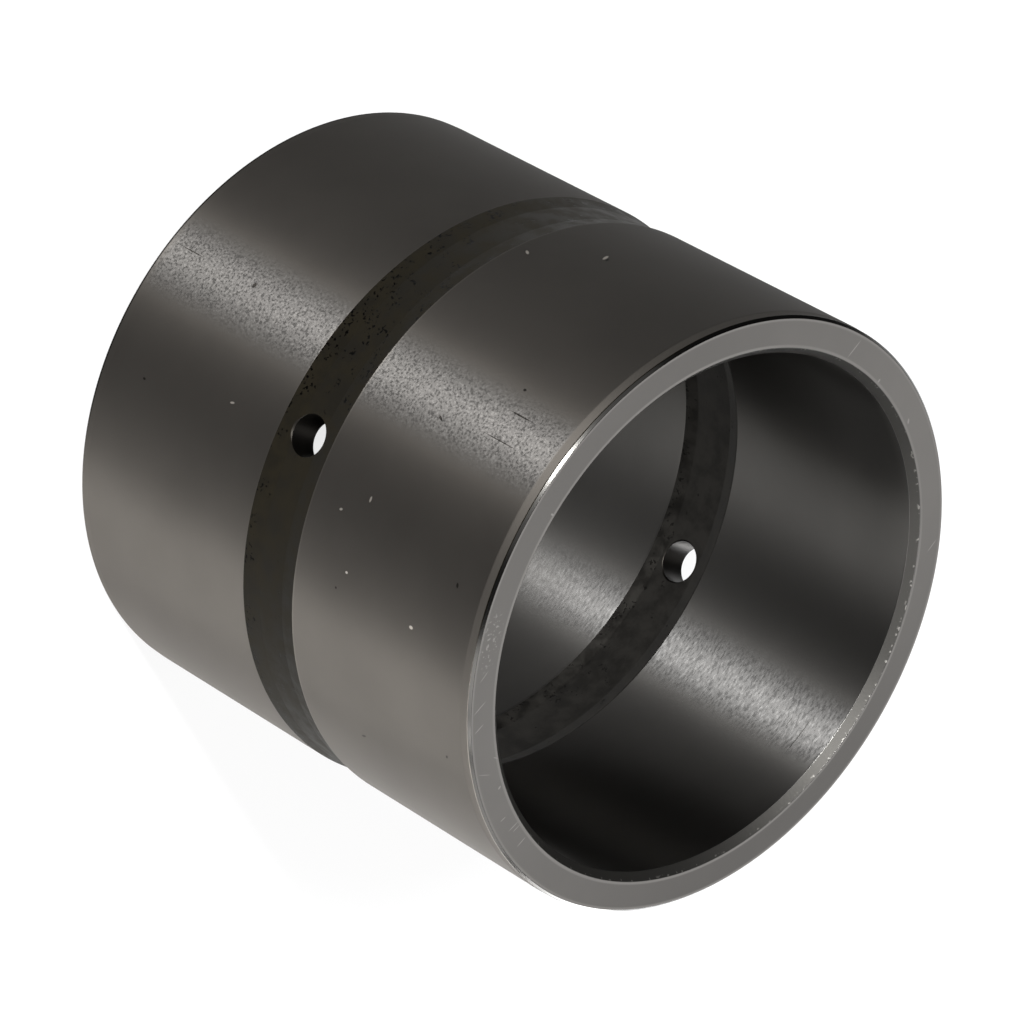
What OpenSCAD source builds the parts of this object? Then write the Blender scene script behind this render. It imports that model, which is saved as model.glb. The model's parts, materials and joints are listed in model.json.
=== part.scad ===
// Steel pin bushing with a grease groove round the outside and another round the bore.
// Both grooves lie at mid-length and radial oil holes join them through the wall.
// The bushing stands on one end face. Its origin is the middle of that face and its axis is +Z.

/* [Body] */
// Diameter of the bore that the pin turns in
bore_d = 100; // [40:1:160]
// Thickness of the wall between the bore and the outside
wall = 7.5; // [5:0.5:15]
// Length from end face to end face
bush_len = 110; // [60:1:180]

/* [Outer ends] */
// Size of the 45 degree chamfer at each outer end
end_chamfer = 0.5; // [0.2:0.05:1.5]
// Radial depth of the shallow lead-in taper behind the chamfer
lead_in_r = 0.08; // [0.02:0.02:0.4]
// Length of the lead-in taper along the bushing
lead_in_len = 1.8; // [0.5:0.1:4]

/* [Bore ends] */
// Size of the 45 degree chamfer at each end of the bore
bore_chamfer = 1.4; // [0.5:0.1:2.5]

/* [Outer groove] */
// Depth of the grease groove round the outside
outer_groove_depth = 0.6; // [0.3:0.1:1.6]
// Width of the flat floor of the outer groove
outer_groove_floor = 6.4; // [3:0.2:14]
// Length of each sloping side of the outer groove along the bushing
outer_groove_side = 3.7; // [0.5:0.1:6]

/* [Bore groove] */
// Depth of the grease groove round the bore
bore_groove_depth = 0.9; // [0.3:0.1:1.6]
// Width of the flat floor of the bore groove
bore_groove_floor = 9; // [3:0.2:14]
// Length of each sloping side of the bore groove along the bushing
bore_groove_side = 2.7; // [0.5:0.1:6]

/* [Oil holes] */
// Diameter of each oil hole drilled through the wall
oil_hole_d = 8; // [3:0.5:12]
// Number of oil holes, evenly spaced round the bushing
oil_hole_count = 2; // [1:1:6]
// Direction of the first oil hole, counted from +X round the axis
oil_hole_angle = -90; // [-180:5:180]

/* [Hidden] */
$fn = 180;
bore_r = bore_d / 2;
outer_r = bore_r + wall;
mid_z = bush_len / 2;
// How far a drilling runs out past the outside of the wall
drill_run_out = 2;

// The lower half of the outside, from the end face up to the middle of the groove floor.
// Each point is a radius and a height.
lower_outside = [
    [outer_r - lead_in_r - end_chamfer, 0],
    [outer_r - lead_in_r, end_chamfer],
    [outer_r, end_chamfer + lead_in_len],
    [outer_r, mid_z - outer_groove_floor / 2 - outer_groove_side],
    [outer_r - outer_groove_depth, mid_z - outer_groove_floor / 2]
];

// The lower half of the bore, from the end face up to the middle of the groove floor
lower_bore = [
    [bore_r + bore_chamfer, 0],
    [bore_r, bore_chamfer],
    [bore_r, mid_z - bore_groove_floor / 2 - bore_groove_side],
    [bore_r + bore_groove_depth, mid_z - bore_groove_floor / 2]
];

function reversed(points) = [for (i = [len(points) - 1 : -1 : 0]) points[i]];

// The same points mirrored about mid-length, so that either end can go into the housing first
function upper_half(points) = [for (p = points) [p.x, bush_len - p.y]];

// One whole side of the wall, from the lower end face to the upper one
function full_side(points) = concat(points, reversed(upper_half(points)));

// Turned sleeve with its chamfers, tapers and both grooves
module turned_sleeve() {
    rotate_extrude()
        polygon(concat(full_side(lower_outside), reversed(full_side(lower_bore))));
}

// Radial drillings from the axis out through the floors of both grooves
module oil_drillings() {
    for (i = [0 : oil_hole_count - 1])
        rotate([0, 0, oil_hole_angle + i * 360 / oil_hole_count])
            translate([0, 0, mid_z])
                rotate([0, 90, 0])
                    cylinder(d = oil_hole_d, h = outer_r + drill_run_out);
}

module bushing() {
    color([0.35, 0.34, 0.32])
        difference() {
            turned_sleeve();
            oil_drillings();
        }
}

bushing();
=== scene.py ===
"""Finish and studio of a steel pin bushing with grease grooves.

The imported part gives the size. One turned sleeve is drawn from the same section as the
solid, with its edges broken and its oil holes drilled, and each zone gets its own finish.
"""
import json
import math

import bpy
import numpy as np
from bpy.props import FloatProperty, FloatVectorProperty, IntProperty, PointerProperty
from mathutils import Matrix, Vector


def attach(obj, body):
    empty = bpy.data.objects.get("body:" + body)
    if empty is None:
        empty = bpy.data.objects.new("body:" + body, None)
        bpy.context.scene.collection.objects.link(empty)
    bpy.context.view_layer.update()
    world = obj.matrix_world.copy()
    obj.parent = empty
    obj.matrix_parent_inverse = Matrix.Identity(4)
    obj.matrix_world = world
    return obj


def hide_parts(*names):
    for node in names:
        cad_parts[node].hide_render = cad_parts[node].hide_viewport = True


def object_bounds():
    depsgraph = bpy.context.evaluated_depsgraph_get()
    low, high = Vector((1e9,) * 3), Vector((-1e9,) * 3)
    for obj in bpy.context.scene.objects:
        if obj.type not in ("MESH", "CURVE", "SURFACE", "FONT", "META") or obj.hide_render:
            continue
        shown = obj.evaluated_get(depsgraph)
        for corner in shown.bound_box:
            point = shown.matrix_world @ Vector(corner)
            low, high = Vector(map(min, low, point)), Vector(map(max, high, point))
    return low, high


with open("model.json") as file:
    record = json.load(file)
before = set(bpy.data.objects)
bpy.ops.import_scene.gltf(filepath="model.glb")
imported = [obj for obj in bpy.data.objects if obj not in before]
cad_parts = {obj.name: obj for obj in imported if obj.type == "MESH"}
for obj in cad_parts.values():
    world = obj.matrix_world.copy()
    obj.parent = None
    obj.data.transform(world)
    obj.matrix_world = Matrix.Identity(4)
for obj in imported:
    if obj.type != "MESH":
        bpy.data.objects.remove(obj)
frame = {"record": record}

bl_info = {
    "name": "Grooved pin bushing",
    "version": (1, 0, 0),
    "blender": (4, 5, 0),
    "location": "View3D > Sidebar > Bushing",
    "description": "Builds the finish of a ground steel pin bushing and its studio",
    "category": "Object",
}

MM = 0.001
CAD_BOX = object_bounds()
MOUNTS = {mount["name"]: mount for mount in frame["record"]["mounts"]}
LENGTH = CAD_BOX[1].z
OUTER_R = MOUNTS["housing_seat"]["dims"]["r_mm"] * MM
BORE_R = MOUNTS["pin_bore"]["dims"]["r_mm"] * MM
SEAT_LENGTH = MOUNTS["housing_seat"]["dims"]["length_mm"] * MM
BORE_LENGTH = MOUNTS["pin_bore"]["dims"]["length_mm"] * MM
OIL_HOLES = [mount for name, mount in MOUNTS.items() if name.startswith("oil_hole")]
OIL_HOLE_R = OIL_HOLES[0]["dims"]["r_mm"] * MM

# Zones of the surface, in the order of the sleeve's material slots
# The last zone, the edge between outer chamfer and outside, is darkened with painted shade
(
    OUTSIDE, BORE, END_FACE, CHAMFER, BORE_CHAMFER,
    GROOVE, BORE_GROOVE, OIL_HOLE, WORN_HIGHLIGHT_EDGE, PAINTED_SHADE_EDGE,
) = range(10)

# Marks of the outside: direction in degrees, height from mid-length, half width and half height in
# millimetres, and lean in degrees
NICKS = [
    (-150.8, 20.7, 1.2, 0.4, 20),
    (-68.8, 38.2, 0.4, 0.6, 0),
    (-85.7, 20.4, 0.7, 0.3, 0),
    (-71.7, 19.9, 0.3, 0.4, 0),
    (-81.5, 14.5, 0.3, 0.5, 20),
    (-141.8, 9.9, 0.35, 0.9, -30),
    (-88.4, -19.9, 0.25, 0.7, 15),
]
PITS = [
    (-150.4, 21.6, 0.7, 0.3, 20),
    (-80.1, 46.6, 0.6, 0.35, 20),
    (-39.1, 23.3, 0.3, 0.9, 25),
    (-68.0, 17.9, 0.3, 0.3, 0),
    (-115.7, 37.6, 0.35, 0.45, 0),
    (-111.2, 41.0, 0.2, 3.2, 0),
    (-105.6, 40.5, 0.12, 5.0, 0),
    (-104.1, 26.0, 0.3, 0.9, -25),
    (-108.8, -30.0, 0.7, 0.6, 0),
    (-108.8, -48.0, 0.14, 4.0, 0),
    (-84.2, -43.0, 0.3, 0.5, 0),
    (-47.3, 48.3, 0.5, 0.3, -30),
]

# Fine scratches round the bore, given in the same way
BORE_SCRATCHES = [
    (69.9, 47.0, 4.8, 0.16, 0),
    (71.5, 43.2, 1.6, 0.1, 0),
    (76.7, 21.2, 1.2, 0.12, 0),
]

# Marks of the end faces: direction in degrees, radius, half length and half width in millimetres,
# and lean in degrees from the radius
SCRATCHES = [
    (175.7, 54.1, 2.4, 0.16, -16),
    (-59.6, 55.0, 2.0, 0.14, 36),
    (-55.3, 55.1, 1.45, 0.14, 30),
    (-65.9, 54.6, 1.5, 0.1, 50),
    (-45.0, 55.0, 1.8, 0.08, -32),
    (-47.1, 52.0, 0.75, 0.12, -38),
    (-32.8, 54.2, 0.85, 0.14, 0),
    (-29.3, 53.1, 1.5, 0.14, 0),
    (-28.3, 52.8, 1.1, 0.12, 0),
    (-24.6, 53.5, 1.4, 0.14, 0),
    (117.7, 55.0, 1.7, 0.14, 44),
    (149.4, 52.7, 0.7, 0.3, 60),
    (164.2, 52.2, 0.5, 0.3, 0),
    (-99.1, 52.1, 0.5, 0.25, 0),
    (-40.0, 52.6, 0.5, 0.25, 30),
]
COARSE_PATCH = [(-73.0, 54.5, 2.6, 7.0, 0)]

# Stretches round the axis that differ from the rest: the direction of the middle, and how far from
# it the difference is full and how far it reaches, all in degrees
# Stretch where the edge beside the outer chamfer has no painted shade; the dark band above the lower
# edge is left out there too
UNDARKENED_EDGE = (-45.0, 20.0, 33.0)
# Stretch of the outer chamfer with a painted highlight
CHAMFER_HIGHLIGHT_STRETCH = (-35.0, 14.0, 24.0)
PITTED_GROOVE = (-118.0, 11.5, 26.0)
# Stretches of the outside and the bore where the lamps' highlights fall; a painted highlight tone and
# painted glints are laid there
OUTSIDE_HIGHLIGHT_STRETCH = (-107.0, 2.6, 9.6)
BORE_HIGHLIGHT_STRETCH = (73.0, 2.6, 9.6)

# Bands along edges. Each pair of distances is where a band starts to fade and where it is gone:
# a dark band above the lower edge of the outside, the painted highlight on each side of a rim of
# the outer groove, and the painted highlights along the edges of the end faces, counted from the
# bore and from the outside
LOWER_EDGE_DARK_BAND = (0.75 * MM, 1.0 * MM)
RIM_HIGHLIGHT = (0.1 * MM, 0.35 * MM)
# Painted highlights along the bore edge and the outer edge of each end face
FACE_INNER_HIGHLIGHT = (1.8 * MM, 2.1 * MM)
FACE_OUTER_HIGHLIGHT = (0.85 * MM, 1.2 * MM)

# How far the lead-in band fades to each side of the end of the seat
LEAD_IN_FADE = 0.3 * MM

# Painted sheen of the end faces: waves of light and dark painted into their colour round the axis.
# For each: how often it goes round, its start in degrees and its strength
FACE_SHEEN = [(2.0, 81.0, 0.32), (1.0, 157.0, 0.18)]

# Extra pits in the outer groove. Those at its lower rim are full at the first distance below
# mid-length and gone at the second. The amounts are for the rim and for the pitted stretch.
PITTED_RIM = (6.0 * MM, 3.0 * MM)
PITS_AT_RIM = 0.12
PITS_IN_STRETCH = 0.09

# Fineness along X, Y and Z of the lines that grinding and turning leave round the axis
GRINDING_LINES = (60, 60, 5200)
TURNING_LINES = (40, 40, 2600)

# The lamps: direction and height in degrees, then distance, width and height in metres. The
# studio holds a level for each name.
LAMPS = {
    "front_softbox": (-118.8, 48, 1.2, 0.12, 0.58),
    "front_wall": (-127, 48, 1.25, 1.44, 0.5),
    "side_panel": (19, 1.0, 0.4, 1.25, 0.13),
    "upper_side_panel": (12, 24, 0.9, 0.6, 0.3),
    "corner_panel": (-27, 3, 0.55, 0.36, 0.16),
    "fill_softbox": (-28, 50, 1.0, 0.5, 0.55),
    "back_panel": (83, 50, 0.9, 0.5, 0.8),
}


class BushingSizes(bpy.types.PropertyGroup):
    """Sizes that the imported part's mounts don't give"""

    end_chamfer: FloatProperty(
        name="End chamfer", description="45 degree chamfer at each outer end",
        default=0.5 * MM, unit="LENGTH",
    )
    lead_in_depth: FloatProperty(
        name="Lead-in depth", description="Radial depth of the taper behind the end chamfer",
        default=0.08 * MM, unit="LENGTH",
    )
    outer_groove_depth: FloatProperty(
        name="Outer groove depth", description="Depth of the groove round the outside",
        default=0.6 * MM, unit="LENGTH",
    )
    outer_groove_floor: FloatProperty(
        name="Outer groove floor", description="Width of the outer groove's flat floor",
        default=6.4 * MM, unit="LENGTH",
    )
    outer_groove_side: FloatProperty(
        name="Outer groove side", description="Length of each sloping side of the outer groove",
        default=3.7 * MM, unit="LENGTH",
    )
    bore_groove_depth: FloatProperty(
        name="Bore groove depth", description="Depth of the groove round the bore",
        default=0.9 * MM, unit="LENGTH",
    )
    bore_groove_floor: FloatProperty(
        name="Bore groove floor", description="Width of the bore groove's flat floor",
        default=9.0 * MM, unit="LENGTH",
    )
    bore_groove_side: FloatProperty(
        name="Bore groove side", description="Length of each sloping side of the bore groove",
        default=2.7 * MM, unit="LENGTH",
    )
    outer_edge_radius: FloatProperty(
        name="Outer edge radius", description="Radius between each outer chamfer and the outside",
        default=0.22 * MM, unit="LENGTH",
    )
    face_edge_radius: FloatProperty(
        name="Face edge radius", description="Radius between each outer chamfer and its end face",
        default=0.12 * MM, unit="LENGTH",
    )
    bore_edge_radius: FloatProperty(
        name="Bore edge radius", description="Radius that rounds both edges of each bore chamfer",
        default=0.15 * MM, unit="LENGTH",
    )
    soft_radius: FloatProperty(
        name="Soft corner radius", description="Radius where two surfaces meet at a shallow angle",
        default=1.5 * MM, unit="LENGTH",
    )
    hole_edge_break: FloatProperty(
        name="Oil hole edge break", description="Size of the broken edge of each oil hole",
        default=0.1 * MM, unit="LENGTH",
    )
    segments: IntProperty(
        name="Segments", description="Flat strips round the sleeve", default=384, min=24,
    )
    corner_steps: IntProperty(
        name="Corner steps", description="Flat strips across each rounded corner",
        default=4, min=1,
    )
    hole_segments: IntProperty(
        name="Oil hole segments", description="Flat strips round each oil hole",
        default=96, min=12,
    )


class BushingFinish(bpy.types.PropertyGroup):
    """Colours of the steel, one for each zone"""

    outside: FloatVectorProperty(
        name="Ground outside", description="Colour of the ground outside",
        default=(0.081, 0.0745, 0.067), subtype="COLOR",
    )
    bore: FloatVectorProperty(
        name="Ground bore", description="Colour of the ground bore",
        default=(0.106, 0.102, 0.0965), subtype="COLOR",
    )
    end_face: FloatVectorProperty(
        name="End faces", description="Colour of the ground end faces",
        default=(0.206, 0.198, 0.189), subtype="COLOR",
    )
    chamfer: FloatVectorProperty(
        name="Outer chamfers", description="Colour of the oiled outer chamfers",
        default=(0.048, 0.0465, 0.044), subtype="COLOR",
    )
    bore_chamfer: FloatVectorProperty(
        name="Bore chamfers", description="Colour of the dull bore chamfers",
        default=(0.062, 0.06, 0.056), subtype="COLOR",
    )
    hole: FloatVectorProperty(
        name="Oil holes", description="Colour of the walls of the oil holes",
        default=(0.018, 0.0165, 0.0145), subtype="COLOR",
    )
    groove: FloatVectorProperty(
        name="Outer groove", description="Colour of the dark outer grease groove",
        default=(0.006, 0.0047, 0.0022), subtype="COLOR",
    )
    bore_groove: FloatVectorProperty(
        name="Bore groove", description="Colour of the dull bore grease groove",
        default=(0.035, 0.033, 0.03), subtype="COLOR",
    )
    # Bare steel at the rounded edges of the bore chamfers, made lighter partly as a painted highlight
    worn_edge: FloatVectorProperty(
        name="Worn edges", description="Colour of bare steel at the edges",
        default=(0.13, 0.127, 0.122), subtype="COLOR",
    )


class BushingStudio(bpy.types.PropertyGroup):
    """Camera and light. Light levels are counted against a white surface, which is 1"""

    camera_azimuth: FloatProperty(
        name="Camera azimuth", description="Direction of the camera, counted from +X",
        default=math.radians(-97.065), subtype="ANGLE",
    )
    camera_elevation: FloatProperty(
        name="Camera elevation", description="Height of the camera above the horizon",
        default=math.radians(41.15), subtype="ANGLE",
    )
    camera_roll: FloatProperty(
        name="Camera roll", description="Turn of the camera about its line of sight",
        default=math.radians(119.384), subtype="ANGLE",
    )
    camera_distance: FloatProperty(
        name="Camera distance", description="Distance from the camera to its aim",
        default=1112.6 * MM, unit="LENGTH",
    )
    camera_aim: FloatVectorProperty(
        name="Camera aim", description="Point on the line of sight beside the middle of the part",
        default=(1.20 * MM, 0.43 * MM, 55.67 * MM), subtype="XYZ",
    )
    camera_lens: FloatProperty(
        name="Lens", description="Focal length in millimetres on a 36 mm sensor", default=212.45,
    )
    world_level: FloatProperty(
        name="Room", description="Level of the pale room round the part", default=0.06,
    )
    front_softbox_level: FloatProperty(
        name="Front softbox", description="Level of the softbox beside the camera",
        default=120.0,
    )
    side_panel_level: FloatProperty(
        name="Side panel", description="Level of the low panel at the side", default=9.2,
    )
    upper_side_panel_level: FloatProperty(
        name="Upper side panel", description="Level of the dim panel above the side panel",
        default=1.0,
    )
    corner_panel_level: FloatProperty(
        name="Corner panel", description="Level of the low panel between the front and the side",
        default=6.0,
    )
    front_wall_level: FloatProperty(
        name="Front wall", description="Level of the wide dim wall behind the front softbox",
        default=0.7,
    )
    fill_softbox_level: FloatProperty(
        name="Fill softbox", description="Level of the softbox between the front and the side",
        default=5.3,
    )
    back_panel_level: FloatProperty(
        name="Back panel", description="Level of the dim panel behind the part", default=1.1,
    )
    floor_paint: FloatProperty(
        name="Floor paint", description="Tone of the floor's paint, which takes the shadow",
        default=0.2,
    )
    floor_glow: FloatProperty(
        name="Floor glow", description="Level that the camera and reflections see besides the paint",
        default=0.78,
    )
    floor_size: FloatProperty(
        name="Floor size", description="Length of each side of the square floor",
        default=5.0, unit="LENGTH",
    )


def section(sizes):
    """Corners of the wall's section, as (radius, height), and the zone of the side after each."""
    mid = LENGTH / 2
    end_r = OUTER_R - sizes.lead_in_depth
    outer_floor_z = mid - sizes.outer_groove_floor / 2
    bore_floor_z = mid - sizes.bore_groove_floor / 2
    outside = [
        (end_r - sizes.end_chamfer, 0, CHAMFER),
        (end_r, sizes.end_chamfer, OUTSIDE),
        (OUTER_R, (LENGTH - SEAT_LENGTH) / 2, OUTSIDE),
        (OUTER_R, outer_floor_z - sizes.outer_groove_side, GROOVE),
        (OUTER_R - sizes.outer_groove_depth, outer_floor_z, GROOVE),
    ]
    bore_chamfer = (LENGTH - BORE_LENGTH) / 2
    bore = [
        (BORE_R + bore_chamfer, 0, BORE_CHAMFER),
        (BORE_R, bore_chamfer, BORE),
        (BORE_R, bore_floor_z - sizes.bore_groove_side, BORE_GROOVE),
        (BORE_R + sizes.bore_groove_depth, bore_floor_z, BORE_GROOVE),
    ]
    return closed_outline(outside, bore)


def closed_outline(outside, bore):
    """The lower halves of both sides, mirrored about mid-length and joined by the end faces."""
    corners, zones = [], []
    for r, z, zone in outside:
        corners.append((r, z))
        zones.append(zone)
    for i in range(len(outside) - 1, -1, -1):
        r, z, _ = outside[i]
        corners.append((r, LENGTH - z))
        zones.append(outside[i - 1][2] if i else END_FACE)
    for r, z, zone in bore:
        corners.append((r, LENGTH - z))
        zones.append(zone)
    for i in range(len(bore) - 1, -1, -1):
        r, z, _ = bore[i]
        corners.append((r, z))
        zones.append(bore[i - 1][2] if i else END_FACE)
    return np.array(corners), zones


def rounded(corners, zones, sizes):
    """The outline with rounded corners: points, outward normals and the zone after each point."""
    points, normals, kinds = [], [], []
    count = len(corners)
    for i in range(count):
        here = corners[i]
        into = here - corners[i - 1]
        out = corners[(i + 1) % count] - here
        into_length, out_length = np.hypot(*into), np.hypot(*out)
        into, out = into / into_length, out / out_length
        turn = math.atan2(into[0] * out[1] - into[1] * out[0], into @ out)
        radius, corner_zone = corner_finish({zones[i - 1], zones[i]}, sizes)
        reach = min(radius * math.tan(abs(turn) / 2), into_length / 3, out_length / 3)
        start = here - into * reach
        first = np.array([into[1], -into[0]])
        bulge = reach / math.tan(abs(turn) / 2)
        centre = start - first * bulge * math.copysign(1, turn)
        for step in range(sizes.corner_steps + 1):
            angle = turn * step / sizes.corner_steps
            cos, sin = math.cos(angle), math.sin(angle)
            normal = np.array([first[0] * cos - first[1] * sin, first[0] * sin + first[1] * cos])
            points.append(centre + normal * bulge * math.copysign(1, turn))
            normals.append(normal)
            last = step == sizes.corner_steps
            kinds.append(zones[i] if last or corner_zone is None else corner_zone)
    return np.array(points), np.array(normals), kinds


def corner_finish(meeting, sizes):
    """The radius of a corner and the zone of its strips, from the two zones that meet there."""
    if meeting == {CHAMFER, OUTSIDE}:
        # This rounded edge gets a dark line of painted shade
        return sizes.outer_edge_radius, PAINTED_SHADE_EDGE
    if meeting == {CHAMFER, END_FACE}:
        return sizes.face_edge_radius, CHAMFER
    if BORE_CHAMFER in meeting:
        # Rounded bore chamfer edges: wear and a painted highlight
        return sizes.bore_edge_radius, WORN_HIGHLIGHT_EDGE
    return sizes.soft_radius, None


def revolve(points, kinds, segments):
    """A closed mesh of the outline turned about +Z, with a strip's zone as its material slot."""
    angles = np.linspace(0, 2 * math.pi, segments, endpoint=False)
    ring = len(points)
    r, z = points[:, 0], points[:, 1]
    x = np.cos(angles)[:, None] * r
    y = np.sin(angles)[:, None] * r
    vertices = np.stack([x, y, np.broadcast_to(z, x.shape)], -1).reshape(-1, 3)
    faces, slots = [], []
    for k in range(segments):
        a, b = k * ring, (k + 1) % segments * ring
        for i in range(ring):
            j = (i + 1) % ring
            faces.append((a + i, b + i, b + j, a + j))
            slots.append(kinds[i])
    mesh = bpy.data.meshes.new("turned_sleeve")
    mesh.from_pydata(vertices.tolist(), [], faces)
    mesh.polygons.foreach_set("material_index", slots)
    return mesh


def drill(sizes, mount):
    """A drill along an oil hole's axis, flared a little where it leaves each groove floor.

    Its flared ends run on past both floors, so that they cut cleanly through the curved wall.
    """
    inner = BORE_R + sizes.bore_groove_depth
    outer = OUTER_R - sizes.outer_groove_depth
    flare = sizes.hole_edge_break
    over = 3 * MM
    segments = sizes.hole_segments
    profile = [
        (OIL_HOLE_R + flare + over, inner - over),
        (OIL_HOLE_R, inner + flare),
        (OIL_HOLE_R, outer - flare),
        (OIL_HOLE_R + flare + over, outer + over),
    ]
    out = Vector(mount["axis"])
    up = Vector((0, 0, 1))
    side = out.cross(up)
    middle = Vector((0, 0, LENGTH / 2))
    vertices, faces = [], []
    for k in range(segments):
        turn = 2 * math.pi * k / segments
        across = side * math.cos(turn) + up * math.sin(turn)
        vertices += [middle + out * along + across * r for r, along in profile]
    rows = len(profile)
    for k in range(segments):
        a, b = k * rows, (k + 1) % segments * rows
        faces += [(a + i, a + i + 1, b + i + 1, b + i) for i in range(rows - 1)]
    faces.append([k * rows for k in range(segments)])
    faces.append([k * rows + rows - 1 for k in reversed(range(segments))])
    mesh = bpy.data.meshes.new("oil_hole_drill")
    mesh.from_pydata(vertices, [], faces)
    mesh.polygons.foreach_set("material_index", [OIL_HOLE] * len(faces))
    return bpy.data.objects.new("oil_hole_drill", mesh)


def cut(piece, cutter, materials):
    """Takes the cutter out of the piece and deletes the cutter."""
    for material in materials:
        cutter.data.materials.append(material)
    scene = bpy.context.scene
    scene.collection.objects.link(cutter)
    boolean = piece.modifiers.new("drilling", "BOOLEAN")
    boolean.operation = "DIFFERENCE"
    boolean.solver = "EXACT"
    boolean.material_mode = "INDEX"
    boolean.object = cutter
    graph = bpy.context.evaluated_depsgraph_get()
    done = bpy.data.meshes.new_from_object(piece.evaluated_get(graph))
    piece.modifiers.clear()
    old = piece.data
    piece.data = done
    bpy.data.meshes.remove(old)
    bpy.data.objects.remove(cutter)


def smooth(mesh, points, normals):
    """Gives every corner of the mesh the true normal of the turned or drilled surface."""
    mesh.polygons.foreach_set("use_smooth", [True] * len(mesh.polygons))
    steps = np.roll(points, -1, axis=0) - points
    square_lengths = (steps**2).sum(1)
    following = np.roll(normals, -1, axis=0)
    found = {}
    custom = [(0, 0, 1)] * len(mesh.loops)
    for face in mesh.polygons:
        for loop in face.loop_indices:
            place = mesh.vertices[mesh.loops[loop].vertex_index].co
            if face.material_index == OIL_HOLE:
                custom[loop] = hole_normal(place, face.normal)
                continue
            r = math.hypot(place.x, place.y)
            key = (round(r, 7), round(place.z, 7))
            if key not in found:
                offset = np.array(key) - points
                share = np.clip((offset * steps).sum(1) / square_lengths, 0, 1)
                gap = ((offset - share[:, None] * steps) ** 2).sum(1)
                i = int(gap.argmin())
                found[key] = normals[i] * (1 - share[i]) + following[i] * share[i]
            along, up = found[key]
            custom[loop] = Vector((place.x / r * along, place.y / r * along, up)).normalized()
    mesh.normals_split_custom_set(custom)


def hole_normal(place, face_normal):
    """Normal of an oil hole's wall, or of its broken edge, which leans out or in by 45 degrees."""
    out = Vector((0, math.copysign(1, place.y), 0))
    towards_axis = -Vector((place.x, 0, place.z - LENGTH / 2)).normalized()
    lean = face_normal.dot(out)
    on_broken_edge = abs(lean) > 0.4
    if on_broken_edge:
        towards_axis += out * math.copysign(1, lean)
    return towards_axis.normalized()


def build_sleeve(sizes, materials):
    """The whole bushing as one closed mesh."""
    points, normals, kinds = rounded(*section(sizes), sizes)
    sleeve = bpy.data.objects.new("bushing_sleeve", revolve(points, kinds, sizes.segments))
    bpy.context.scene.collection.objects.link(sleeve)
    for material in materials:
        sleeve.data.materials.append(material)
    for mount in OIL_HOLES:
        cut(sleeve, drill(sizes, mount), materials)
    smooth(sleeve.data, points, normals)
    return sleeve


class Wiring:
    """Short calls that add nodes to one node tree and join them."""

    def __init__(self, tree):
        self.tree = tree

    def add(self, kind, inputs=None, **settings):
        """A node of that kind. Its inputs are given as values or as outputs of other nodes."""
        node = self.tree.nodes.new(kind)
        for name, value in settings.items():
            setattr(node, name, value)
        for name, value in (inputs or {}).items():
            self.feed(node.inputs[name], value)
        return node

    def feed(self, socket, value):
        """Joins an output to the socket, or sets the socket's own value."""
        if isinstance(value, bpy.types.NodeSocket):
            self.tree.links.new(value, socket)
        else:
            socket.default_value = value

    def math(self, operation, *values):
        """A Math node's output."""
        node = self.add("ShaderNodeMath", dict(enumerate(values)), operation=operation)
        return node.outputs[0]

    def mix_value(self, share, low, high):
        """A mix of two numbers."""
        node = self.add("ShaderNodeMix", {0: share, 2: low, 3: high}, data_type="FLOAT")
        return node.outputs[0]

    def mix_colour(self, share, low, high, blend="MIX"):
        """A mix of two colours."""
        inputs = {0: share, 6: low, 7: high}
        node = self.add("ShaderNodeMix", inputs, data_type="RGBA", blend_type=blend)
        return node.outputs[2]

    def ramp(self, value, low, high, to_low=0.0, to_high=1.0):
        """The value's range stretched to another one, and held at its ends."""
        node = self.add(
            "ShaderNodeMapRange", {0: value, 1: low, 2: high, 3: to_low, 4: to_high},
            interpolation_type="SMOOTHSTEP",
        )
        return node.outputs[0]

    def noise(self, vector, scale, detail=2.0, roughness=0.5, stretch=(1, 1, 1)):
        """A noise texture's value, stretched along the axes."""
        scaled = self.add(
            "ShaderNodeMapping", {"Vector": vector, "Scale": stretch}, vector_type="POINT"
        ).outputs[0]
        node = self.add(
            "ShaderNodeTexNoise",
            {"Vector": scaled, "Scale": scale, "Detail": detail, "Roughness": roughness},
        )
        return node.outputs["Fac"]

    def place(self):
        """The place on the part, in metres."""
        return self.add("ShaderNodeTexCoord").outputs["Object"]

    def axes(self, place):
        """The X, Y and Z of a place."""
        return self.add("ShaderNodeSeparateXYZ", {"Vector": place}).outputs

    def from_axis(self, place):
        """The place without its height, and its distance from the axis."""
        lowered = self.add("ShaderNodeVectorMath", {0: place, 1: (1, 1, 0)}, operation="MULTIPLY")
        flat = lowered.outputs[0]
        radius = self.add("ShaderNodeVectorMath", {0: flat}, operation="LENGTH").outputs["Value"]
        return flat, radius

    def turn(self, axes):
        """The direction of a place round the axis, counted from +X."""
        return self.math("ARCTAN2", axes["Y"], axes["X"])

    def unrolled(self, axes, radius):
        """A flat map of a turned surface, and the height from mid-length."""
        along = self.math("MULTIPLY", self.turn(axes), radius)
        height = self.math("SUBTRACT", axes["Z"], LENGTH / 2)
        return self.add("ShaderNodeCombineXYZ", {0: along, 1: height}).outputs[0], height

    def within(self, axes, stretch):
        """A mask that is 1 in a stretch round the axis and fades to 0 at its ends."""
        middle, full, end = [math.radians(angle) for angle in stretch]
        nearness = self.math("COSINE", self.math("SUBTRACT", self.turn(axes), middle))
        return self.ramp(nearness, math.cos(end), math.cos(full))


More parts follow.
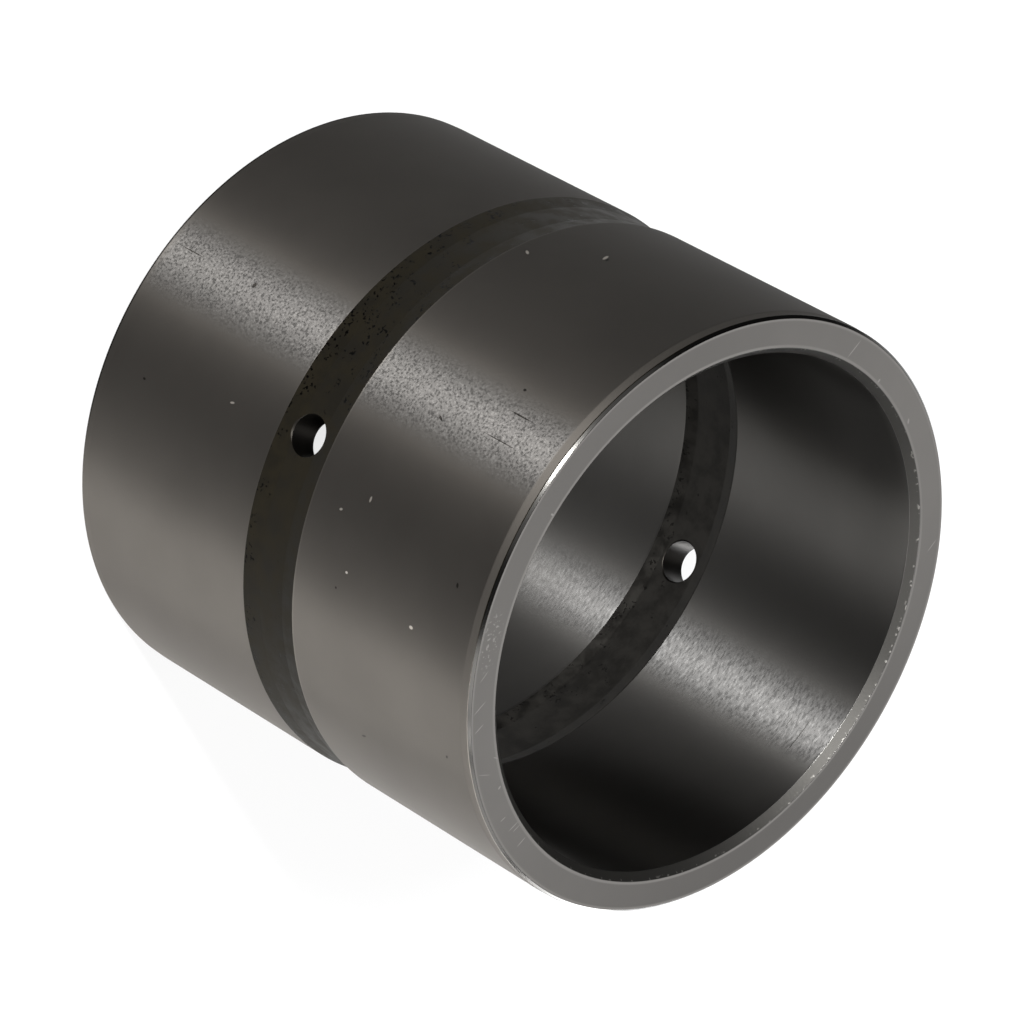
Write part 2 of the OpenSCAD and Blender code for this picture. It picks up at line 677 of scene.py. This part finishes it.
def new_group(name, inputs, outputs):
    """An empty shader node group with named number sockets, its wiring and its two end nodes."""
    tree = bpy.data.node_groups.new(name, "ShaderNodeTree")
    for label, value in inputs.items():
        socket = tree.interface.new_socket(label, in_out="INPUT", socket_type="NodeSocketFloat")
        socket.default_value = value
    for label in outputs:
        tree.interface.new_socket(label, in_out="OUTPUT", socket_type="NodeSocketFloat")
    wires = Wiring(tree)
    entry = wires.add("NodeGroupInput")
    end = wires.add("NodeGroupOutput")
    return tree, wires, entry.outputs, end.inputs


def grain_group():
    """Ground steel's grain: fine speckle, long lines round the axis and a slow change of tone."""
    tree, wires, given, out = new_group(
        "ground_grain",
        {"Speckle Scale": 2000.0, "Speckle Length": 1.0, "Line Share": 0.2},
        ["Speckle", "Height", "Tone"],
    )
    place = wires.place()
    across = wires.math("DIVIDE", 1.0, given["Speckle Length"])
    stretch = wires.add("ShaderNodeCombineXYZ", {0: across, 1: across, 2: 1.0}).outputs[0]
    speckle = wires.noise(place, given["Speckle Scale"], detail=2.0, roughness=0.6, stretch=stretch)
    wires.feed(out["Speckle"], speckle)
    lines = wires.noise(place, 1.0, detail=3.0, roughness=0.7, stretch=GRINDING_LINES)
    wires.feed(out["Height"], wires.mix_value(given["Line Share"], speckle, lines))
    cloud = wires.noise(place, 45.0, detail=4.0, roughness=0.55)
    wires.feed(out["Tone"], wires.ramp(cloud, 0.3, 0.7))
    return tree


def spots(wires, flat, marks):
    """Small oval marks on a flat map, each with its place, its half sizes and its lean."""
    total = 0.0
    for x, y, half_width, half_height, lean in marks:
        local = wires.add(
            "ShaderNodeMapping",
            {
                "Vector": flat,
                "Location": (x * MM, y * MM, 0),
                "Rotation": (0, 0, math.radians(lean)),
                "Scale": (half_width * MM, half_height * MM, 1),
            },
            vector_type="TEXTURE",
        ).outputs[0]
        reach = wires.add("ShaderNodeVectorMath", {0: local}, operation="LENGTH").outputs["Value"]
        total = wires.math("MAXIMUM", total, wires.ramp(reach, 0.5, 1.0, 1.0, 0.0))
    return total


def round_turned(marks, radius):
    """Marks given by direction in degrees, placed in millimetres round that radius."""
    return [(math.radians(turn) * radius / MM, *rest) for turn, *rest in marks]


def on_face(marks):
    """Marks given by direction and radius, placed on the face. Their lean counts from the radius."""
    placed = []
    for turn, radius, half_length, half_width, lean in marks:
        angle = math.radians(turn)
        x, y = radius * math.cos(angle), radius * math.sin(angle)
        placed.append((x, y, half_length, half_width, turn + lean))
    return placed


def land_group(rim):
    """Marks of the ground outside, the lead-in band, the painted highlights along the rims of the outer
    groove and a dark band at its lower edge.

    The rims of the outer groove lie at the given distance on each side of mid-length.
    """
    tree, wires, _, out = new_group("land_marks", {}, ["Nicks", "Pits", "Lead In", "Oil", "Rims"])
    axes = wires.axes(wires.place())
    flat, height = wires.unrolled(axes, OUTER_R)
    wires.feed(out["Nicks"], spots(wires, flat, round_turned(NICKS, OUTER_R)))
    wires.feed(out["Pits"], spots(wires, flat, round_turned(PITS, OUTER_R)))
    seat_end = SEAT_LENGTH / 2
    lead_in = wires.ramp(height, seat_end - LEAD_IN_FADE, seat_end + LEAD_IN_FADE)
    wires.feed(out["Lead In"], lead_in)
    # A dark band above the lower edge of the outside, left out over the stretch where the edge has no
    # painted shade
    at_lower_edge = wires.ramp(axes["Z"], *LOWER_EDGE_DARK_BAND, 1.0, 0.0)
    darkened_stretches = wires.math("SUBTRACT", 1.0, wires.within(axes, UNDARKENED_EDGE))
    wires.feed(out["Oil"], wires.math("MULTIPLY", at_lower_edge, darkened_stretches))
    # Painted highlight: a thin band on each side of each rim of the outer groove
    away = wires.math("ABSOLUTE", height)
    from_rim = wires.math("ABSOLUTE", wires.math("SUBTRACT", away, rim))
    wires.feed(out["Rims"], wires.ramp(from_rim, *RIM_HIGHLIGHT, 1.0, 0.0))
    return tree


def bore_group():
    """Scratches of the ground bore."""
    tree, wires, _, out = new_group("bore_marks", {}, ["Scratches"])
    flat, _ = wires.unrolled(wires.axes(wires.place()), BORE_R)
    wires.feed(out["Scratches"], spots(wires, flat, round_turned(BORE_SCRATCHES, BORE_R)))
    return tree


def face_group():
    """Marks of a ground end face: painted highlights along its edges, scratches, a patch of coarser
    grain and a painted sheen.
    """
    tree, wires, _, out = new_group("face_marks", {}, ["Edge Lines", "Scratches", "Specks", "Sheen"])
    place = wires.place()
    flat, radius = wires.from_axis(place)
    from_bore = wires.math("SUBTRACT", radius, BORE_R)
    from_outside = wires.math("SUBTRACT", OUTER_R, radius)
    # Painted highlights: lighter lines along the bore edge and the outer edge of the face
    inner = wires.ramp(from_bore, *FACE_INNER_HIGHLIGHT, 1.0, 0.0)
    outer = wires.ramp(from_outside, *FACE_OUTER_HIGHLIGHT, 1.0, 0.0)
    wires.feed(out["Edge Lines"], wires.math("MAXIMUM", inner, outer))
    wires.feed(out["Scratches"], spots(wires, flat, on_face(SCRATCHES)))
    patch = spots(wires, flat, on_face(COARSE_PATCH))
    speckle = wires.ramp(wires.noise(place, 1500.0, detail=1.0), 0.55, 0.7)
    wires.feed(out["Specks"], wires.math("MULTIPLY", speckle, patch))
    # Painted sheen: waves of light and dark round the axis, for the end face's colour
    turn = wires.turn(wires.axes(place))
    sheen = 0.5
    for times, start, strength in FACE_SHEEN:
        wave = wires.math("COSINE", wires.math("MULTIPLY_ADD", turn, times, math.radians(start)))
        sheen = wires.math("MULTIPLY_ADD", wave, strength, sheen)
    wires.feed(out["Sheen"], sheen)
    return tree


def groove_group():
    """Dark turned groove: mottled skin and small pits, mostly near the lower rim of one stretch."""
    tree, wires, given, out = new_group(
        "groove_skin", {"Mottle Scale": 260.0, "Pit Scale": 1500.0}, ["Mottle", "Pits", "Height"]
    )
    place = wires.place()
    axes = wires.axes(place)
    wires.feed(out["Mottle"], wires.noise(place, given["Mottle Scale"], detail=4.0, roughness=0.6))
    holes = wires.ramp(wires.noise(place, given["Pit Scale"]), 0.56, 0.62)
    patch = wires.noise(place, 300.0, detail=2.0)
    more = wires.math("MULTIPLY", wires.within(axes, PITTED_GROOVE), PITS_IN_STRETCH)
    low, high = [LENGTH / 2 - depth for depth in PITTED_RIM]
    at_rim = wires.ramp(axes["Z"], low, high, PITS_AT_RIM, 0.0)
    more = wires.math("ADD", more, at_rim)
    pitted = wires.ramp(wires.math("ADD", patch, more), 0.62, 0.66)
    pits = wires.math("MULTIPLY", holes, pitted)
    wires.feed(out["Pits"], pits)
    turned = wires.noise(place, 1.0, detail=3.0, roughness=0.7, stretch=TURNING_LINES)
    wires.feed(out["Height"], wires.math("SUBTRACT", turned, wires.math("MULTIPLY", pits, 2.0)))
    return tree


def new_material(name):
    """A metal with an empty Principled shader, and its wiring."""
    material = bpy.data.materials.new(name)
    material.use_nodes = True
    tree = material.node_tree
    tree.nodes.clear()
    wires = Wiring(tree)
    shader = wires.add("ShaderNodeBsdfPrincipled", {"Metallic": 1.0})
    end = wires.add("ShaderNodeOutputMaterial")
    wires.feed(end.inputs["Surface"], shader.outputs[0])
    return material, wires, shader


def tinted(colour, factor):
    """The colour times a factor, with full alpha."""
    return (*[channel * factor for channel in colour], 1.0)


def lay_over(wires, shader, mask, colour):
    """Lays a colour over the shader's base colour where the mask is 1."""
    base = shader.inputs["Base Color"].links[0].from_socket
    wires.feed(shader.inputs["Base Color"], wires.mix_colour(mask, base, colour))


def ground_steel(name, colour, grain, roughness, relief_depth, anisotropy=0.0):
    """Steel ground round its axis. Where it is anisotropic, its gloss spreads along the axis."""
    material, wires, shader = new_material(name)
    given = wires.add("ShaderNodeGroup", node_tree=grain, name="grain").outputs
    base = wires.mix_colour(given["Tone"], tinted(colour, 0.95), tinted(colour, 1.05))
    wires.feed(shader.inputs["Base Color"], base)
    shader.inputs["Roughness"].default_value = roughness
    relief = wires.add("ShaderNodeBump", {"Distance": relief_depth, "Height": given["Height"]})
    wires.feed(shader.inputs["Normal"], relief.outputs[0])
    if anisotropy:
        shader.inputs["Anisotropic"].default_value = anisotropy
        shader.inputs["Anisotropic Rotation"].default_value = 0.25
        around = wires.add("ShaderNodeTangent", direction_type="RADIAL", axis="Z")
        wires.feed(shader.inputs["Tangent"], around.outputs[0])
    return material, wires, shader


def steel_with_painted_glints(
    name, colour, grain, speckle_length, roughness, glossy, highlight_stretch, highlight_height, relief_depth
):
    """Anisotropic ground steel with a painted highlight over a stretch round the axis: a more grey,
    slightly darker tone, with lighter specks painted as glints.

    Other specks there are glossier. The painted highlight is full above the given height and faint at
    the lower end.
    """
    material, wires, shader = ground_steel(name, colour, grain, roughness, relief_depth, anisotropy=1.0)
    given = material.node_tree.nodes["grain"]
    given.inputs["Speckle Length"].default_value = speckle_length
    speckle = given.outputs["Speckle"]
    axes = wires.axes(wires.place())
    by_height = wires.ramp(axes["Z"], 0.0, highlight_height, 0.3, 1.0)
    highlight_mask = wires.math("MULTIPLY", wires.within(axes, highlight_stretch), by_height)
    painted_glints = wires.math("MULTIPLY", highlight_mask, wires.ramp(speckle, 0.56, 0.66))
    glossy_specks = wires.math("MULTIPLY", highlight_mask, wires.ramp(speckle, 0.38, 0.51, 1.0, 0.0))
    # Painted highlight over the stretch: a more grey tone at 0.86, and lighter specks painted as glints
    mean = sum(colour) / 3
    highlight_grey = [(channel + mean) / 2 for channel in colour]
    lay_over(wires, shader, highlight_mask, tinted(highlight_grey, 0.86))
    lay_over(wires, shader, painted_glints, tinted(highlight_grey, 1.2))
    wires.feed(shader.inputs["Roughness"], wires.mix_value(glossy_specks, roughness, glossy))
    return material, wires, shader


def marked_outside(colour, grain, rim):
    """The ground outside with its nicks, pits, lead-in band, painted highlights at the groove rims and
    a dark band at its lower edge.
    """
    # The stretch given here gets a painted highlight and painted glints
    material, wires, shader = steel_with_painted_glints(
        "ground_outside", colour, grain, speckle_length=1.0, roughness=0.52, glossy=0.28,
        highlight_stretch=OUTSIDE_HIGHLIGHT_STRETCH, highlight_height=3 * MM, relief_depth=0.004 * MM,
    )
    marks = wires.add("ShaderNodeGroup", node_tree=land_group(rim)).outputs
    # Painted highlights at the groove rims, laid at 0.4 strength in 1.5 times the outside's colour
    faint_rim_highlights = wires.math("MULTIPLY", marks["Rims"], 0.4)
    lay_over(wires, shader, faint_rim_highlights, tinted(colour, 1.5))
    lay_over(wires, shader, marks["Lead In"], tinted(colour, 1.2))
    # The dark band above the lower edge, at 0.12 of the outside's colour
    lay_over(wires, shader, marks["Oil"], tinted(colour, 0.12))
    lay_over(wires, shader, marks["Nicks"], tinted(colour, 6.0))
    lay_over(wires, shader, marks["Pits"], tinted(colour, 0.2))
    rough = shader.inputs["Roughness"].links[0].from_socket
    wires.feed(shader.inputs["Roughness"], wires.mix_value(marks["Lead In"], rough, 0.85))
    return material


def scratched_bore(colour, grain):
    """The ground bore with its scratches."""
    # The stretch given here gets a painted highlight and painted glints
    material, wires, shader = steel_with_painted_glints(
        "ground_bore", colour, grain, speckle_length=2.5, roughness=0.48, glossy=0.35,
        highlight_stretch=BORE_HIGHLIGHT_STRETCH, highlight_height=LENGTH / 2, relief_depth=0.008 * MM,
    )
    marks = wires.add("ShaderNodeGroup", node_tree=bore_group()).outputs
    lay_over(wires, shader, marks["Scratches"], tinted(colour, 0.35))
    return material


def chamfer_with_painted_highlight(colour, grain):
    """The bright outer chamfer, dimmed by oil, with a highlight painted over one stretch."""
    material, wires, shader = ground_steel("turned_chamfer", colour, grain, 0.18, 0.002 * MM)
    # Painted highlight: the chamfer's colour four times lighter over one stretch
    chamfer_highlight = wires.within(wires.axes(wires.place()), CHAMFER_HIGHLIGHT_STRETCH)
    lay_over(wires, shader, chamfer_highlight, tinted(colour, 4.0))
    return material


def oily_edge(finish, grain):
    """The edge between outer chamfer and outside: a dark line of painted shade, lighter over one
    stretch.
    """
    material, wires, shader = ground_steel("oily_edge", finish.groove, grain, 0.4, 0.004 * MM)
    # Painted shade: the edge takes the dark groove colour; over one stretch it takes 1.3 times the
    # outside's colour instead
    undarkened = wires.within(wires.axes(wires.place()), UNDARKENED_EDGE)
    lay_over(wires, shader, undarkened, tinted(finish.outside, 1.3))
    return material


def speckled_chamfer(colour, grain):
    """The dull bore chamfer, with small bright specks along its rim at the end face."""
    material, wires, shader = ground_steel(
        "turned_bore_chamfer", colour, grain, 0.55, 0.02 * MM, anisotropy=0.3
    )
    place = wires.place()
    _, radius = wires.from_axis(place)
    face_rim = BORE_R + (LENGTH - BORE_LENGTH) / 2
    at_rim = wires.ramp(radius, face_rim - 0.5 * MM, face_rim - 0.1 * MM)
    specks = wires.ramp(wires.noise(place, 1300.0, detail=1.0), 0.6, 0.68)
    lay_over(wires, shader, wires.math("MULTIPLY", specks, at_rim), tinted(colour, 4.0))
    return material


def end_face_steel(colour, grain):
    """Satin end face with cross grain, a painted sheen, painted highlights along its edges and a few
    scratches.
    """
    material, wires, shader = new_material("ground_end_face")
    given = wires.add("ShaderNodeGroup", node_tree=grain).outputs
    marks = wires.add("ShaderNodeGroup", node_tree=face_group()).outputs
    base = wires.mix_colour(given["Tone"], tinted(colour, 0.93), tinted(colour, 1.07))
    white = (1.0, 1.0, 1.0)
    # Painted sheen: the face's colour made lighter and darker in waves round the axis
    sheen = wires.mix_colour(marks["Sheen"], tinted(white, 0.83), tinted(white, 1.19))
    wires.feed(shader.inputs["Base Color"], wires.mix_colour(1.0, base, sheen, "MULTIPLY"))
    # Painted highlights along both edges of the face, at 1.4 times the face's colour
    lay_over(wires, shader, marks["Edge Lines"], tinted(colour, 1.4))
    lay_over(wires, shader, marks["Specks"], tinted(colour, 1.7))
    lay_over(wires, shader, marks["Scratches"], tinted(colour, 1.75))
    wires.feed(shader.inputs["Roughness"], wires.mix_value(given["Tone"], 0.42, 0.5))
    relief = wires.add(
        "ShaderNodeBump", {"Strength": 0.15, "Distance": 0.02 * MM, "Height": given["Height"]}
    )
    wires.feed(shader.inputs["Normal"], relief.outputs[0])
    return material


def groove_steel(name, colour, skin, pit_tone):
    """Dull groove skin with mottle and pits. The pits' colour is pit_tone times the groove's."""
    material, wires, shader = new_material(name)
    given = wires.add("ShaderNodeGroup", node_tree=skin, name="skin").outputs
    mottle = wires.ramp(given["Mottle"], 0.35, 0.65)
    base = wires.mix_colour(mottle, tinted(colour, 0.75), tinted(colour, 1.25))
    wires.feed(shader.inputs["Base Color"], base)
    lay_over(wires, shader, given["Pits"], tinted(colour, pit_tone))
    wires.feed(shader.inputs["Roughness"], wires.mix_value(mottle, 0.5, 0.62))
    relief = wires.add(
        "ShaderNodeBump", {"Strength": 0.4, "Distance": 0.03 * MM, "Height": given["Height"]}
    )
    wires.feed(shader.inputs["Normal"], relief.outputs[0])
    return material, wires, shader


def grimy_groove(colour, skin):
    """The outer groove under dried grease, which hides the metal everywhere but in its pits."""
    material, wires, shader = groove_steel("grimy_outer_groove", colour, skin, pit_tone=0.1)
    shader.inputs["Specular IOR Level"].default_value = 0.08
    wires.feed(shader.inputs["Metallic"], material.node_tree.nodes["skin"].outputs["Pits"])
    return material


def sleeve_materials(finish, sizes):
    """One material for each zone, in the order of the zones."""
    grain, skin = grain_group(), groove_group()
    rim = sizes.outer_groove_floor / 2 + sizes.outer_groove_side
    return [
        marked_outside(finish.outside, grain, rim),
        scratched_bore(finish.bore, grain),
        end_face_steel(finish.end_face, grain),
        chamfer_with_painted_highlight(finish.chamfer, grain),
        speckled_chamfer(finish.bore_chamfer, grain),
        grimy_groove(finish.groove, skin),
        groove_steel("dull_bore_groove", finish.bore_groove, skin, pit_tone=0.45)[0],
        ground_steel("drilled_hole", finish.hole, grain, 0.45, 0.01 * MM)[0],
        # Edges of the bore chamfers, lighter as wear and as a painted highlight
        ground_steel("worn_edge", finish.worn_edge, grain, 0.3, 0.01 * MM)[0],
        oily_edge(finish, grain),
    ]


def direction(azimuth, elevation):
    """Unit vector at that azimuth from +X and that height above the horizon."""
    flat = math.cos(elevation)
    return Vector((flat * math.cos(azimuth), flat * math.sin(azimuth), math.sin(elevation)))


def add_camera(studio):
    """The camera at the photograph's viewing angle."""
    back = direction(studio.camera_azimuth, studio.camera_elevation)
    place = Vector(studio.camera_aim) + back * studio.camera_distance
    look = (-back).to_track_quat("-Z", "Y").to_matrix().to_4x4()
    camera = bpy.data.objects.new("camera", bpy.data.cameras.new("camera"))
    roll = Matrix.Rotation(studio.camera_roll, 4, "Z")
    camera.matrix_world = Matrix.Translation(place) @ look @ roll
    camera.data.lens = studio.camera_lens
    camera.data.sensor_width = 36.0
    camera.data.clip_end = 20.0
    bpy.context.scene.collection.objects.link(camera)
    bpy.context.scene.camera = camera


def add_softbox(name, azimuth, elevation, distance, width, height, level):
    """An area lamp that faces the part. Its level is its brightness against white."""
    lamp = bpy.data.lights.new(name, "AREA")
    lamp.shape = "RECTANGLE"
    lamp.size, lamp.size_y = width, height
    lamp.energy = level * math.pi * width * height
    box = bpy.data.objects.new(name, lamp)
    towards = direction(math.radians(azimuth), math.radians(elevation))
    centre = Vector((0, 0, LENGTH / 2))
    look = towards.to_track_quat("Z", "Y").to_matrix().to_4x4()
    box.matrix_world = Matrix.Translation(centre + towards * distance) @ look
    bpy.context.scene.collection.objects.link(box)


def pale_paint(studio):
    """Pale floor paint that metal also sees as white, and that keeps the part's shadow."""
    material = bpy.data.materials.new("pale_floor")
    material.use_nodes = True
    tree = material.node_tree
    tree.nodes.clear()
    wires = Wiring(tree)
    tone = tinted((1.0, 1.0, 1.0), studio.floor_paint)
    paint = wires.add("ShaderNodeBsdfDiffuse", {"Color": tone})
    path = wires.add("ShaderNodeLightPath").outputs
    seen = wires.math("MAXIMUM", path["Is Camera Ray"], path["Is Glossy Ray"])
    seen = wires.math("MAXIMUM", seen, path["Is Transmission Ray"])
    strength = wires.math("MULTIPLY", seen, studio.floor_glow)
    glow = wires.add("ShaderNodeEmission", {"Strength": strength})
    both = wires.add("ShaderNodeAddShader", {0: paint.outputs[0], 1: glow.outputs[0]})
    end = wires.add("ShaderNodeOutputMaterial")
    wires.feed(end.inputs["Surface"], both.outputs[0])
    return material


def add_floor(studio):
    """The floor that the part stands on."""
    half = studio.floor_size / 2
    mesh = bpy.data.meshes.new("floor")
    mesh.from_pydata(
        [(-half, -half, 0), (half, -half, 0), (half, half, 0), (-half, half, 0)], [], [(0, 1, 2, 3)]
    )
    mesh.materials.append(pale_paint(studio))
    floor = bpy.data.objects.new("floor", mesh)
    bpy.context.scene.collection.objects.link(floor)


def light_room(level):
    """An even pale room."""
    world = bpy.data.worlds.new("pale_room")
    world.use_nodes = True
    background = world.node_tree.nodes["Background"]
    background.inputs["Color"].default_value = (1.0, 1.0, 1.0, 1.0)
    background.inputs["Strength"].default_value = level
    bpy.context.scene.world = world


class BUSHING_OT_sleeve(bpy.types.Operator):
    """Builds the turned sleeve with its grooves and oil holes, and gives each zone its finish"""

    bl_idname = "bushing.sleeve"
    bl_label = "Build the sleeve"

    def execute(self, context):
        sizes, finish = context.scene.bushing_sizes, context.scene.bushing_finish
        sleeve = build_sleeve(sizes, sleeve_materials(finish, sizes))
        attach(sleeve, "root")
        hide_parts("bushing")
        return {"FINISHED"}


class BUSHING_OT_stage(bpy.types.Operator):
    """Sets the floor, the room, the lamps and the camera"""

    bl_idname = "bushing.stage"
    bl_label = "Set the stage"

    def execute(self, context):
        studio = context.scene.bushing_studio
        context.scene.view_settings.view_transform = "Standard"
        add_camera(studio)
        add_floor(studio)
        light_room(studio.world_level)
        for name, place in LAMPS.items():
            add_softbox(name, *place, getattr(studio, name + "_level"))
        return {"FINISHED"}


class VIEW3D_PT_bushing(bpy.types.Panel):
    """Sizes, colours and light of the bushing"""

    bl_label = "Bushing"
    bl_space_type = "VIEW_3D"
    bl_region_type = "UI"
    bl_category = "Bushing"

    def draw(self, context):
        layout = self.layout
        scene = context.scene
        for group in (scene.bushing_sizes, scene.bushing_finish, scene.bushing_studio):
            box = layout.box()
            for name in group.__annotations__:
                box.prop(group, name)
        layout.operator("bushing.sleeve")
        layout.operator("bushing.stage")


CLASSES = (
    BushingSizes,
    BushingFinish,
    BushingStudio,
    BUSHING_OT_sleeve,
    BUSHING_OT_stage,
    VIEW3D_PT_bushing,
)


def register():
    for cls in CLASSES:
        bpy.utils.register_class(cls)
    bpy.types.Scene.bushing_sizes = PointerProperty(type=BushingSizes)
    bpy.types.Scene.bushing_finish = PointerProperty(type=BushingFinish)
    bpy.types.Scene.bushing_studio = PointerProperty(type=BushingStudio)


def unregister():
    del bpy.types.Scene.bushing_studio
    del bpy.types.Scene.bushing_finish
    del bpy.types.Scene.bushing_sizes
    for cls in reversed(CLASSES):
        bpy.utils.unregister_class(cls)


def main():
    register()
    bpy.ops.bushing.sleeve()
    bpy.ops.bushing.stage()


if __name__ == "__main__":
    main()
